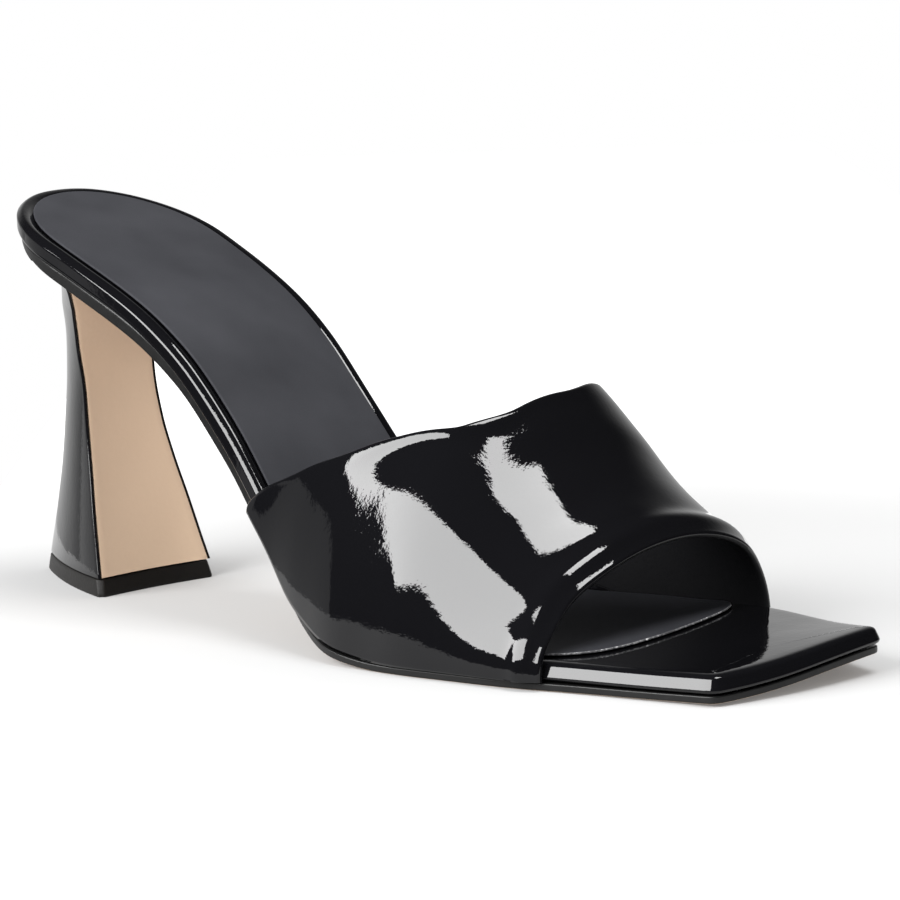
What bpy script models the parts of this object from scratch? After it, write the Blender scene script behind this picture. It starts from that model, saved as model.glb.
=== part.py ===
"""A right-foot high-heeled mule: a square open toe, an open back and a flared heel.

Metres, +Z up. The toe points along +X, the outer (little toe) side is -Y and the
inner (big toe) side is +Y. The shoe stands on z = 0 on its top lift and its tread.
"""

import math

import bpy
import numpy as np

# Footbed, measured on its top rim
LENGTH = 0.2365          # level, from the back of the seat to the front of the toe
HEEL_RISE = 0.0954       # the rim at the back, above the floor
SEAT_WIDTH = 0.0538
SEAT_ROUND = 0.0300      # length of the rounded back of the seat
WAIST_WIDTH = 0.0482
BALL_WIDTH = 0.0775
TOE_WIDTH = 0.0460       # across the two toe corners
TOE_SKEW = 0.0065        # how far the inner toe corner lies ahead of the outer one
TOE_BOW = 0.0022         # how far the toe's front edge swells ahead of its corners
TOE_SPRING = 0.0028      # the sole's underside at the toe's middle, above the floor
TOE_TWIST = 1.0          # 0 springs level, above 0 springs more on the inner side

# Thicknesses and clearances
BOARD = 0.0040           # insole board with its wrapping
BOARD_ROUND = 0.0011     # rounding of its wrapped edge
SOLE = 0.0016
SOLE_ROUND = 0.0003
SOCK = 0.0008
SOCK_ROUND = 0.0002
SOCK_INSET = 0.0036      # from the rim to the sock's edge
SOCK_FRONT = 0.1982      # front of the sock at its middle
LEATHER = 0.0019         # upper with its lining
CLEAR = 0.0003           # air between two pieces that touch

# Upper
CREST = 0.0693           # highest ordinate of the last above the insole's underside
LEAN = 0.0122            # how far the crest leans to the inner side
WING_BACK = 0.0995       # back end of the outer wing
THROAT = 0.1610          # back edge over the middle of the foot
OPENING = 0.1918         # edge of the toe opening over the middle of the foot

# Heel
HEEL_TURN = math.radians(-2.5)
LIFT = 0.0042
HEEL_BASE_LENGTH = 0.0434
HEEL_BASE_WIDTH = 0.0362
HEEL_BACK = -0.0097      # back of the base, measured from the back of the seat
HEEL_RIDGE = 0.0022      # width of the narrow back
HEEL_CORNER = 0.0006     # cut across the heel's two front corners
LIFT_CORNER = 0.0016
SIDE_HOLLOW = 0.0018     # depth of the hollow in each side of the base
BREAST_HOLLOW = 0.0012
BREAST_RIM = 0.0012      # folded edge of the cover that frames the breast
FLAP = 0.0009            # leather on the breast
SEAT_INSET = 0.0008      # edge of the heel's seat inside the sole's edge

STACK = BOARD + CLEAR + SOLE
SEAT = HEEL_RISE - STACK
MIDDLE = OPENING - THROAT

# Half widths of the rim
PLAN = (
    # along: share of LENGTH, outer side, inner side
    (0.135, 0.526 * SEAT_WIDTH, 0.474 * SEAT_WIDTH),
    (0.190, 0.543 * SEAT_WIDTH, 0.440 * SEAT_WIDTH),
    (0.270, 0.614 * WAIST_WIDTH, 0.438 * WAIST_WIDTH),
    (0.380, 0.606 * WAIST_WIDTH, 0.394 * WAIST_WIDTH),
    (0.450, 0.395 * BALL_WIDTH, 0.265 * BALL_WIDTH),
    (0.510, 0.446 * BALL_WIDTH, 0.322 * BALL_WIDTH),
    (0.575, 0.484 * BALL_WIDTH, 0.395 * BALL_WIDTH),
    (0.640, 0.480 * BALL_WIDTH, 0.458 * BALL_WIDTH),
    (0.700, 0.458 * BALL_WIDTH, 0.503 * BALL_WIDTH),
    (0.765, 0.430 * BALL_WIDTH, 0.520 * BALL_WIDTH),
    (0.830, 0.387 * BALL_WIDTH, 0.484 * BALL_WIDTH),
    (0.895, 0.578 * TOE_WIDTH, 0.704 * TOE_WIDTH),
    (0.955, 0.513 * TOE_WIDTH, 0.574 * TOE_WIDTH),
    (1.000, 0.487 * TOE_WIDTH, 0.491 * TOE_WIDTH),
)

# Rise of the footbed above its lowest level
PROFILE = (
    # along: share of LENGTH, rise: share of SEAT, spring: share of TOE_SPRING
    (0.000, 1.000, 0.00),
    (0.051, 0.953, 0.00),
    (0.135, 0.872, 0.00),
    (0.254, 0.741, 0.00),
    (0.317, 0.632, 0.00),
    (0.380, 0.464, 0.00),
    (0.444, 0.260, 0.00),
    (0.507, 0.090, 0.00),
    (0.571, 0.016, 0.00),
    (0.630, 0.000, 0.00),
    (0.680, 0.000, 0.00),
    (0.730, 0.000, 0.00),
    (0.800, 0.000, 0.25),
    (0.900, 0.000, 0.45),
    (1.000, 0.000, 1.00),
)

# How far the sole's edge stands out from the insole's edge
SOLE_STEP = (
    # along: share of LENGTH, step
    (0.000, -0.0003),
    (0.200, -0.0006),
    (0.350, -0.0020),
    (0.460, -0.0012),
    (0.520, 0.0016),
    (0.570, 0.0026),
    (0.640, 0.0018),
    (0.780, 0.0012),
    (0.840, 0.0006),
    (1.000, 0.0000),
)

# Front edge of the sock
SOCK_EDGE = (
    # across: -1 outer to 1 inner, setback: share of SOCK_INSET
    (-1.00, 2.60),
    (-0.80, 0.60),
    (-0.45, 0.00),
    (0.00, 0.10),
    (0.45, 0.90),
    (0.80, 2.00),
    (1.00, 3.60),
)

# Sections of the last under the upper
SECTIONS = (
    # along: share of LENGTH, crest: share of CREST, power: 2 is round, lean: share
    (0.380, 0.760, 2.27, 1.00),
    (0.465, 0.888, 2.27, 1.00),
    (0.550, 0.942, 2.20, 0.84),
    (0.634, 0.914, 2.14, 0.68),
    (0.719, 0.595, 2.08, 0.52),
    (0.803, 0.376, 2.01, 0.36),
    (0.888, 0.228, 2.01, 0.36),
)

# Ends of the upper. around: 0 at the outer edge, 1 at the inner edge
UPPER_ENDS = (
    # around, back: share of the way to THROAT, front: set back from OPENING, as a
    # share of the upper's length over the middle
    (0.00, 0.000, 0.108),
    (0.07, 0.139, 0.111),
    (0.14, 0.305, 0.095),
    (0.22, 0.581, 0.075),
    (0.30, 0.900, 0.035),
    (0.40, 0.991, 0.010),
    (0.50, 0.988, -0.010),
    (0.60, 0.945, -0.020),
    (0.70, 0.860, 0.000),
    (0.85, 0.522, 0.075),
    (1.00, 0.160, 0.090),
)

# Sections of the heel, from the floor to the root of the seat
HEEL_SECTIONS = (
    # height: share of SEAT, then shares of HEEL_BASE_LENGTH, HEEL_BASE_WIDTH,
    # HEEL_BACK and the two hollows
    (0.000, 1.000, 1.000, 1.000, 1.00),
    (0.111, 0.866, 0.912, 0.691, 1.00),
    (0.223, 0.737, 0.829, 0.392, 0.90),
    (0.334, 0.618, 0.735, 0.134, 0.80),
    (0.446, 0.525, 0.663, -0.041, 0.65),
    (0.557, 0.459, 0.627, -0.186, 0.50),
    (0.669, 0.424, 0.663, -0.237, 0.35),
    (0.758, 0.452, 0.707, -0.062, 0.15),
)

# Flare of the heel's cup, from the root of the seat to the seat
CUP = (
    # height, spread
    (0.00, 0.00),
    (0.35, 0.10),
    (0.65, 0.38),
    (0.86, 0.70),
    (1.00, 1.00),
)


def curve(table, column, x):
    """Smooth curve through one column of a table, level at its peaks and hollows."""
    xs = np.array([row[0] for row in table])
    ys = np.array([row[column] for row in table])
    x = np.asarray(x, dtype=float)
    gap = np.diff(xs)
    rise = np.diff(ys) / gap
    turns = rise[:-1] * rise[1:] <= 0
    total = np.where(turns, 1, rise[:-1] + rise[1:])
    inside = np.where(turns, 0, 2 * rise[:-1] * rise[1:] / total)
    lean = np.concatenate([rise[:1], inside, rise[-1:]])
    i = np.clip(np.searchsorted(xs, x) - 1, 0, len(gap) - 1)
    t = np.clip((x - xs[i]) / gap[i], 0, 1)
    ends = ys[i] * (1 + 2 * t) * (1 - t) ** 2 + ys[i + 1] * t * t * (3 - 2 * t)
    return ends + gap[i] * t * (1 - t) * (lean[i] * (1 - t) - lean[i + 1] * t)


def half_width(x, side):
    """Half width of the rim at x, on the outer (-1) or the inner (1) side."""
    width = curve(PLAN, 1 if side < 0 else 2, x / LENGTH)
    back = np.clip(1 - x / SEAT_ROUND, 0, 1)
    return width * np.sqrt(1 - back ** 2)


def rim(x, y=0):
    """Height of the footbed at x, y."""
    share = x / LENGTH
    spring = TOE_SPRING * (1 + TOE_TWIST * y / np.hypot(y, TOE_WIDTH / 2))
    return STACK + SEAT * curve(PROFILE, 1, share) + spring * curve(PROFILE, 2, share)


def steepness(x):
    """How much longer the footbed is than its plan at x."""
    reach = LENGTH / 1000
    low = np.maximum(x - reach, 0)
    high = np.minimum(x + reach, LENGTH)
    return np.sqrt(1 + ((rim(high) - rim(low)) / (high - low)) ** 2)


def below(x, y, depth):
    """Height of the layer that lies at a depth under the rim, measured square to it."""
    return rim(x, y) - depth * steepness(x)


def stations():
    """Places along the footbed, close together round the back of the seat."""
    seat = SEAT_ROUND * (1 - np.cos(np.linspace(0, math.pi / 2, 9)))
    return np.concatenate([seat, np.linspace(SEAT_ROUND, LENGTH, 38)[1:]])


def footbed(front, across=9):
    """Grid over the plan: rows along the foot, columns from the outer side inwards.

    front: function of t, -1 at the outer side and 1 at the inner side, for the x of
    the front edge.
    """
    along = stations()[:, None]
    t = np.linspace(-1, 1, across)[None, :]
    share = np.clip((along / LENGTH - 0.6) / 0.4, 0, 1)
    x = along - share * share * (3 - 2 * share) * (LENGTH - front(t))
    outer = -half_width(x[:, :1], -1)
    inner = half_width(x[:, -1:], 1)
    return x, outer + (inner - outer) * (t + 1) / 2


def toe_front(t):
    """x of the toe's front edge."""
    return LENGTH - TOE_SKEW * (1 - t) / 2 - TOE_BOW * t * t


def sock_front(t):
    """x of the sock's front edge, before its inset."""
    return SOCK_FRONT - SOCK_INSET * curve(SOCK_EDGE, 1, t)


def border(grid):
    """Values round a grid: the outer side, the front, then the inner side back."""
    return np.concatenate([grid[:, 0], grid[-1, 1:-1], grid[:0:-1, -1]])


def push_out(x, y, reach):
    """Moves a closed outline outwards in plan by reach, square to itself."""
    ring = np.stack([x, y], 1)
    before = ring - np.roll(ring, 1, 0)
    after = np.roll(ring, -1, 0) - ring
    before /= np.linalg.norm(before, axis=1)[:, None]
    after /= np.linalg.norm(after, axis=1)[:, None]
    along = before + after
    along /= np.linalg.norm(along, axis=1)[:, None]
    mitre = np.maximum((along * before).sum(1), 0.6)
    out = np.stack([along[:, 1], -along[:, 0]], 1)
    return ring + out * (reach / mitre)[:, None]


def loop_walls(starts, count):
    """Quads between closed loops of points, each loop below the one before."""
    quads = []
    for a, b in zip(starts[:-1], starts[1:]):
        for i in range(count):
            j = (i + 1) % count
            quads.append((a + i, b + i, b + j, a + j))
    return quads


def plate(grid, step, top, bottom, rounding, bends):
    """Closed plate that follows the footbed.

    grid: x and y over the plan. step: how far the edge stands out from the grid's
    border. top, bottom: depths under the rim. bends: angles of the rounded edge.
    """
    x, y = grid
    rows, across = x.shape
    edge_x, edge_y = border(x), border(y)
    angles = [math.radians(bend) for bend in bends]
    rings = [(rounding * (1 - math.sin(a)), rounding * (1 - math.cos(a))) for a in angles]
    layers = [(back, top + down) for back, down in rings]
    layers += [(back, bottom - down) for back, down in reversed(rings)]

    points = []
    starts = []
    outlines = []
    for back, depth in layers:
        outline = push_out(edge_x, edge_y, step - back)
        starts.append(len(edge_x) * len(starts))
        outlines.append(outline)
        points.append(np.column_stack([outline, below(*outline.T, depth)]))
    faces = loop_walls(starts, len(edge_x))

    for layer, depth, upward in ((0, top, True), (-1, bottom, False)):
        outline, start = outlines[layer], starts[layer]
        outer = outline[:rows]
        inner = np.concatenate([outline[:1], outline[rows + across - 2:][::-1]])
        t = np.linspace(0, 1, across)[1:-1]
        bow = x[1:-1, 1:-1] - x[1:-1, :1] * (1 - t) - x[1:-1, -1:] * t
        in_x = outer[1:-1, :1] * (1 - t) + inner[1:-1, :1] * t + bow
        in_y = outer[1:-1, 1:] * (1 - t) + inner[1:-1, 1:] * t
        fresh = sum(len(group) for group in points)
        in_z = below(in_x, in_y, depth)
        points.append(np.column_stack([in_x.ravel(), in_y.ravel(), in_z.ravel()]))

        index = np.zeros((rows, across), int)
        index[:, 0] = start + np.arange(rows)
        index[-1, 1:-1] = start + rows + np.arange(across - 2)
        index[1:, -1] = start + rows + across - 2 + np.arange(rows - 1)[::-1]
        index[0, :] = start
        index[1:-1, 1:-1] = fresh + np.arange(in_x.size).reshape(in_x.shape)
        for i in range(rows - 1):
            for j in range(across - 1):
                quad = [index[i, j], index[i + 1, j], index[i + 1, j + 1], index[i, j + 1]]
                quad = list(dict.fromkeys(int(corner) for corner in quad))
                faces.append(quad if upward else quad[::-1])
    return np.concatenate(points), faces


def upper_surface(u, around):
    """Outside of the upper. u: 0 at the back edge, 1 at the toe opening."""
    back = WING_BACK + (THROAT - WING_BACK) * curve(UPPER_ENDS, 1, around)
    front = OPENING - MIDDLE * curve(UPPER_ENDS, 2, around)
    x = back + (front - back) * u
    share = x / LENGTH
    reach = LENGTH / 1000
    sides = []
    for side in (-1, 1):
        turn = (half_width(x + reach, side) - half_width(x - reach, side)) / (2 * reach)
        sides.append(half_width(x, side) + (CLEAR + LEATHER) * np.sqrt(1 + turn ** 2))
    outer, inner = sides
    power = 2 / curve(SECTIONS, 2, share)
    swing = np.cos(math.pi * around)
    height = np.clip(np.sin(math.pi * around), 0, 1) ** power
    reach_y = np.sign(swing) * np.abs(swing) ** power
    lean = LEAN * curve(SECTIONS, 3, share) * height ** 2
    y = (inner - outer) / 2 - (inner + outer) / 2 * reach_y + lean
    z = below(x, y, BOARD) + CREST * curve(SECTIONS, 1, share) * height
    return np.stack([x, y, z], -1)


def shell(rows, across):
    """The upper: an outside, an inside LEATHER deeper, and turned edges."""
    u, around = np.meshgrid(np.linspace(0, 1, rows), np.linspace(0, 1, across), indexing="ij")
    outside = upper_surface(u, around)
    small = 0.002
    lengthwise = upper_surface(u + small, around) - upper_surface(u - small, around)
    low = np.clip(around - small, 0, 1)
    high = np.clip(around + small, 0, 1)
    crosswise = upper_surface(u, high) - upper_surface(u, low)
    normal = np.cross(lengthwise, crosswise)
    normal /= np.linalg.norm(normal, axis=2)[..., None]
    normal[:, 0, 2] = 0
    normal[:, -1, 2] = 0
    normal /= np.linalg.norm(normal, axis=2)[..., None]
    inside = outside - LEATHER * normal
    lengthwise /= np.linalg.norm(lengthwise, axis=2)[..., None]
    halfway = (outside + inside) / 2
    back = halfway[0] - lengthwise[0] * LEATHER * 0.4
    front = halfway[-1] + lengthwise[-1] * LEATHER * 0.4

    count = rows * across
    out = np.arange(count).reshape(rows, across)
    hid = out + count
    behind = 2 * count + np.arange(across)
    ahead = behind + across
    faces = []
    for i in range(rows - 1):
        for j in range(across - 1):
            faces.append((out[i, j], out[i + 1, j], out[i + 1, j + 1], out[i, j + 1]))
            faces.append((hid[i, j + 1], hid[i + 1, j + 1], hid[i + 1, j], hid[i, j]))
        faces.append((hid[i, 0], hid[i + 1, 0], out[i + 1, 0], out[i, 0]))
        faces.append((out[i, -1], out[i + 1, -1], hid[i + 1, -1], hid[i, -1]))
    for j in range(across - 1):
        faces.append((out[0, j], out[0, j + 1], behind[j + 1], behind[j]))
        faces.append((behind[j], behind[j + 1], hid[0, j + 1], hid[0, j]))
        faces.append((out[-1, j + 1], out[-1, j], ahead[j], ahead[j + 1]))
        faces.append((ahead[j + 1], ahead[j], hid[-1, j], hid[-1, j + 1]))
    faces.append((hid[0, 0], out[0, 0], behind[0]))
    faces.append((out[0, -1], hid[0, -1], behind[-1]))
    faces.append((out[-1, 0], hid[-1, 0], ahead[0]))
    faces.append((hid[-1, -1], out[-1, -1], ahead[-1]))
    points = np.concatenate([outside.reshape(-1, 3), inside.reshape(-1, 3), back, front])
    return points, [tuple(int(corner) for corner in face) for face in faces]


def turned(points):
    """Turns points given along the heel's own axis into the shoe's axes."""
    x, y = points[:, 0], points[:, 1]
    c, s = math.cos(HEEL_TURN), math.sin(HEEL_TURN)
    return np.column_stack([x * c - y * s, x * s + y * c, points[:, 2]])


def heel_sizes(height):
    """Length, width, back and hollow of the heel at a height."""
    share = height / SEAT
    length = HEEL_BASE_LENGTH * curve(HEEL_SECTIONS, 1, share)
    width = HEEL_BASE_WIDTH * curve(HEEL_SECTIONS, 2, share)
    back = HEEL_BACK * curve(HEEL_SECTIONS, 3, share)
    return length, width, back, curve(HEEL_SECTIONS, 4, share)


def breast_line(front, width, hollow, y):
    """x of the breast at y."""
    return front - BREAST_HOLLOW * hollow * (1 - (2 * y / width) ** 2)


def side_line(front, back, width, hollow, t):
    """Points of the inner side, from the breast (0) to the narrow back (1)."""
    x = front + (back - front) * t
    y = width / 2 + (HEEL_RIDGE / 2 - width / 2) * t
    run = np.array([back - front, HEEL_RIDGE / 2 - width / 2])
    run /= np.linalg.norm(run)
    dip = SIDE_HOLLOW * hollow * 4 * t * (1 - t)
    return x + dip * run[1], y - dip * run[0]


def heel_ring(height, corner, recess, steps=8):
    """One level section of the heel or of its lift, in the heel's own axes.

    corner: cut across the front corners. recess: depth of the bed for the breast's
    leather, or 0.
    """
    length, width, back, hollow = heel_sizes(height)
    front = back + length
    cut = corner / math.hypot(length, width / 2)
    t = np.concatenate([[cut], np.linspace(0, 1, steps + 1)[1:]])
    side_x, side_y = side_line(front, back, width, hollow, t)
    bed = width / 2 - corner - BREAST_RIM
    if recess:
        y = np.concatenate([[-width / 2 + corner, -bed], np.linspace(-bed, bed, 5), [bed, width / 2 - corner]])
        deep = np.array([0, 0, 1, 1, 1, 1, 1, 0, 0]) * recess
    else:
        y = np.linspace(-width / 2 + corner, width / 2 - corner, 9)
        deep = np.zeros(9)
    x = breast_line(front, width, hollow, y) - deep
    ring_x = np.concatenate([x, side_x, side_x[::-1]])
    ring_y = np.concatenate([y, side_y, -side_y[::-1]])
    return np.column_stack([ring_x, ring_y, np.full(len(ring_x), height)])


def seat_ring(recess, steps=8):
    """The heel's seat, just inside the sole's edge, in the shoe's axes."""
    length, width, back, hollow = heel_sizes(HEEL_SECTIONS[-1][0] * SEAT)
    front = (back + length) * math.cos(HEEL_TURN)
    spread = {}
    for side in (-1, 1):
        full = float(half_width(front, side))
        end = math.acos(1 - front / SEAT_ROUND)
        start = math.asin(HEEL_RIDGE / 2 / full)
        t = np.concatenate([[0.05], np.linspace(0, 1, steps + 1)[1:]])
        swing = end * (1 - t) + start * t
        x = SEAT_ROUND * (1 - np.cos(swing))
        y = half_width(x, side) * (1 - SEAT_INSET / full)
        spread[side] = (SEAT_INSET + x * (1 - SEAT_INSET / front), y, full - SEAT_INSET)
    low, high = -spread[-1][2] + HEEL_CORNER, spread[1][2] - HEEL_CORNER
    bed = np.linspace(low + BREAST_RIM, high - BREAST_RIM, 5)
    y = np.concatenate([[low], bed[:1], bed, bed[-1:], [high]])
    deep = np.array([0, 0, 1, 1, 1, 1, 1, 0, 0]) * recess
    x = front - y * math.sin(HEEL_TURN) - deep
    ring_x = np.concatenate([x, spread[1][0], spread[-1][0][::-1]])
    ring_y = np.concatenate([y, spread[1][1], -spread[-1][1][::-1]])
    return np.column_stack([ring_x, ring_y, below(ring_x, ring_y, STACK + CLEAR)])


def stack(rings, top, bottom):
    """Closed solid through level loops, given from the top down, with its end faces."""
    count = len(rings[0])
    starts = [count * i for i in range(len(rings))]
    faces = loop_walls(starts, count)
    faces += [tuple(face) for face in top]
    faces += [tuple(starts[-1] + corner for corner in reversed(face)) for face in bottom]
    return np.concatenate(rings), faces


def heel_rings(recess, low):
    """The heel's loops from the seat down to a height."""
    seat = seat_ring(recess)
    root = HEEL_SECTIONS[-1][0] * SEAT
    base = turned(heel_ring(root, HEEL_CORNER, recess))
    rings = []
    for height, spread in reversed(CUP[1:]):
        ring = base + (seat - base) * spread
        ring[:, 2] = base[:, 2] + (seat[:, 2] - base[:, 2]) * height
        rings.append(ring)
    for row in reversed(HEEL_SECTIONS[1:]):
        rings.append(turned(heel_ring(row[0] * SEAT, HEEL_CORNER, recess)))
    rings.append(turned(heel_ring(low, HEEL_CORNER, recess)))
    return rings


def heel_block():
    """The covered heel, with a bed in its breast for the leather flap."""
    rings = heel_rings(FLAP + CLEAR, LIFT + CLEAR)
    sides = [(9 + i, 10 + i, 25 - i, 26 - i) for i in range(8)]
    end = [tuple(range(10)) + (26,)] + sides
    return stack(rings, end, end)


def breast_flap():
    """The leather in the breast's bed, CLEAR of the bed all round."""
    rings = []
    for ring in heel_rings(FLAP + CLEAR, LIFT + CLEAR):
        bed = ring[2:7].copy()
        across = bed[-1] - bed[0]
        across[2] = 0
        across /= np.linalg.norm(across)
        ahead = np.array([across[1], -across[0], 0.0])
        bed[0] += across * CLEAR
        bed[-1] -= across * CLEAR
        back = bed + ahead * CLEAR
        face = back + ahead * FLAP
        rings.append(np.concatenate([face, back[::-1]]))
    top = rings[0]
    top[:, 2] = below(top[:, 0], top[:, 1], STACK + CLEAR)
    end = [(i, i + 1, 8 - i, 9 - i) for i in range(4)]
    return stack(rings, end, end)


def top_lift():
    """The rubber under the heel."""
    upper_ring = turned(heel_ring(LIFT, LIFT_CORNER, 0))
    lower_ring = turned(heel_ring(0.0, LIFT_CORNER, 0))
    sides = [(9 + i, 10 + i, 25 - i, 26 - i) for i in range(8)]
    end = [tuple(range(10)) + (26,)] + sides
    return stack([upper_ring, lower_ring], end, end)


def material(name, colour, roughness):
    """A plain finish: base colour and roughness."""
    made = bpy.data.materials.new(name)
    made.use_nodes = True
    finish = made.node_tree.nodes["Principled BSDF"]
    finish.inputs["Base Color"].default_value = (*colour, 1)
    finish.inputs["Roughness"].default_value = roughness
    finish.inputs["Metallic"].default_value = 0
    made.diffuse_color = (*colour, 1)
    return made


def piece(name, shape, finish, parent):
    """A named object from points and faces, shaded smooth up to its edges."""
    points, faces = shape
    mesh = bpy.data.meshes.new(name)
    mesh.from_pydata([tuple(p) for p in points], [], faces)
    mesh.materials.append(finish)
    mesh.shade_smooth()
    mesh.set_sharp_from_angle(angle=math.radians(35))
    made = bpy.data.objects.new(name, mesh)
    made.parent = parent
    bpy.context.scene.collection.objects.link(made)
    return made


for old in list(bpy.data.objects):
    bpy.data.objects.remove(old, do_unlink=True)

bare = footbed(toe_front)
edge_x = border(bare[0])
patent = material("black_patent", (0.008, 0.008, 0.009), 0.06)
round_bends = (0, 30, 60, 90)
cut_bends = (0, 90)

shapes = {
    "insole": (plate(bare, 0 * edge_x, 0, BOARD, BOARD_ROUND, round_bends), patent),
    "sock": (
        plate(
            footbed(sock_front), 0 * edge_x - SOCK_INSET,
            -CLEAR - SOCK, -CLEAR, SOCK_ROUND, cut_bends,
        ),
        material("sock_leather", (0.055, 0.055, 0.06), 0.5),
    ),
    "outsole": (
        plate(
            bare, curve(SOLE_STEP, 1, edge_x / LENGTH),
            BOARD + CLEAR, STACK, SOLE_ROUND, cut_bends,
        ),
        material("sole_leather", (0.58, 0.43, 0.30), 0.55),
    ),
    "upper": (shell(17, 45), patent),
    "heel": (heel_block(), patent),
    "heel_breast": (breast_flap(), material("breast_leather", (0.58, 0.42, 0.29), 0.5)),
    "top_lift": (top_lift(), material("lift_rubber", (0.02, 0.018, 0.016), 0.55)),
}

# The shoe's origin is on the floor, under the middle of its outline
everything = np.concatenate([shape[0] for shape, finish in shapes.values()])
middle = (everything.min(0) + everything.max(0)) / 2
shoe = bpy.data.objects.new("mule", None)
shoe.location = (-middle[0], -middle[1], 0)
bpy.context.scene.collection.objects.link(shoe)
for name, (shape, finish) in shapes.items():
    piece(name, shape, finish, shoe)
bpy.context.view_layer.update()
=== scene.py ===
import math

import bmesh
import bpy
import numpy as np
from mathutils import Matrix, Vector


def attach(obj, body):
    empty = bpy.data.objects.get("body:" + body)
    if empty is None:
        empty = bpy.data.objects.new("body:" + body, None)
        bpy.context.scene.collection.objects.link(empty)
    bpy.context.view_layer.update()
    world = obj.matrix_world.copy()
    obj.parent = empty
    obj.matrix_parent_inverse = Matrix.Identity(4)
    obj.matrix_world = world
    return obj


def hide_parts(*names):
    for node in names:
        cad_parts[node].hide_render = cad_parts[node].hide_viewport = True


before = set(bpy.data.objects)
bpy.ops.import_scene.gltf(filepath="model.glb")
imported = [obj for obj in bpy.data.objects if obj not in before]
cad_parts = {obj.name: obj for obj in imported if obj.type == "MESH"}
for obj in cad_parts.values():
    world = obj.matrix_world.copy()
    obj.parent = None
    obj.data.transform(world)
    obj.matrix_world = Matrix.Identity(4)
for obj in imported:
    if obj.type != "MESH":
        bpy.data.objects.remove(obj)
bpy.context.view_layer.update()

# Camera
# A long lens stands 0.84 m off the outer front of the shoe, a little above its
# footbed, and rolls by under two degrees. Places are measured from the back of
# the seat, as every piece below is.
CAMERA_TURN = math.radians(44.70)
CAMERA_RISE = math.radians(8.54)
CAMERA_ROLL = math.radians(-1.84)
CAMERA_REACH = 0.83895
CAMERA_LENS = 144.23
AIM = (0.10495, 0.02777, 0.03574)


def mesh_points(object_):
    """All points of an object's mesh, as rows of x, y, z."""
    points = np.empty(3 * len(object_.data.vertices), np.float32)
    object_.data.vertices.foreach_get("co", points)
    return points.reshape(-1, 3).astype(float)


footbed_points = mesh_points(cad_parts["insole"])
seat_back = footbed_points[footbed_points[:, 0].argmin()] * (1, 1, 0)

behind = Vector((
    math.sin(CAMERA_TURN) * math.cos(CAMERA_RISE),
    -math.cos(CAMERA_TURN) * math.cos(CAMERA_RISE),
    math.sin(CAMERA_RISE),
))
level = Vector((math.cos(CAMERA_TURN), math.sin(CAMERA_TURN), 0))
upright = behind.cross(level)
right = level * math.cos(CAMERA_ROLL) + upright * math.sin(CAMERA_ROLL)
up = upright * math.cos(CAMERA_ROLL) - level * math.sin(CAMERA_ROLL)
aim = Vector(AIM) + Vector(seat_back)
camera = bpy.data.objects.new("camera", bpy.data.cameras.new("camera"))
camera.data.lens = CAMERA_LENS
camera.data.sensor_width = 36
camera.data.clip_start = 0.01
camera.matrix_world = Matrix.Translation(aim + behind * CAMERA_REACH) @ Matrix((
    (right.x, up.x, behind.x, 0),
    (right.y, up.y, behind.y, 0),
    (right.z, up.z, behind.z, 0),
    (0, 0, 0, 1),
))
bpy.context.scene.collection.objects.link(camera)
bpy.context.scene.camera = camera
bpy.context.scene.view_settings.view_transform = "Standard"

# Floor and studio
# The shoe stands on a strip of white paper, lit from below except near the shoe.
# The patent leather mirrors the strip, the bright end of the room behind the
# shoe, a grey board at the left and two soft boxes.
PAPER_LEFT = 0.135
PAPER_RIGHT = 0.240
PAPER_FRONT = 0.60
PAPER_BACK = 1.60
PAPER_GREY = 0.265
GLOW_NEAR = 0.16         # up to here from the middle the paper's own glow is faint
GLOW_FAR = 0.42          # and from here on it is full
FAINT_GLOW = 0.13
FULL_GLOW = 0.80
STUDIO_MIDDLE = (0.14, 0, 0.04)
LAMP_REACH = 1.6
ROOM_END = 0.65          # brightness in the mirror of the room's end behind the shoe
ROOM_DARK = 0.02         # and of the rest of the room
ROOM_FILL = 1.4          # even light that the room gives to matt surfaces


class Socket:
    """A node's output, with + - * written as Math nodes."""

    def __init__(self, tree, link):
        self.tree = tree
        self.link = link

    def node(self, kind, settings=None, output=0, **inputs):
        """Adds a node: settings are its properties, inputs its sockets by name or number."""
        made = self.tree.nodes.new(kind)
        for name, value in (settings or {}).items():
            if name == "stops":
                ramp = made.color_ramp
                while len(ramp.elements) < len(value):
                    ramp.elements.new(0.5)
                for stop, (place, colour) in zip(ramp.elements, value):
                    stop.position = place
                    stop.color = (*colour, 1)
            else:
                setattr(made, name, value)
        for name, value in inputs.items():
            key = int(name[1:]) if name[0] == "_" and name[1:].isdigit() else name.replace("_", " ")
            if isinstance(value, Socket):
                self.tree.links.new(value.link, made.inputs[key])
            else:
                made.inputs[key].default_value = value
        return Socket(self.tree, made.outputs[output])

    def maths(self, operation, other, swap=False):
        first, second = (other, self) if swap else (self, other)
        return self.node("ShaderNodeMath", {"operation": operation}, _0=first, _1=second)

    def __add__(self, other):
        return self.maths("ADD", other)

    def __sub__(self, other):
        return self.maths("SUBTRACT", other)

    def __rsub__(self, other):
        return self.maths("SUBTRACT", other, True)

    def __mul__(self, other):
        return self.maths("MULTIPLY", other)

    __radd__ = __add__
    __rmul__ = __mul__


def finish(name):
    """A new material: itself, its Principled node and the wrapped Object coordinates."""
    made = bpy.data.materials.new(name)
    made.use_nodes = True
    tree = made.node_tree
    shader = tree.nodes["Principled BSDF"]
    start = Socket(tree, None)
    place = start.node("ShaderNodeTexCoord", output="Object")
    return made, shader, place


def feed(shader, name, value):
    """Links a wrapped output, or sets a constant, on one of the shader's sockets."""
    if isinstance(value, Socket):
        value.tree.links.new(value.link, shader.inputs[name])
    else:
        shader.inputs[name].default_value = value


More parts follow.
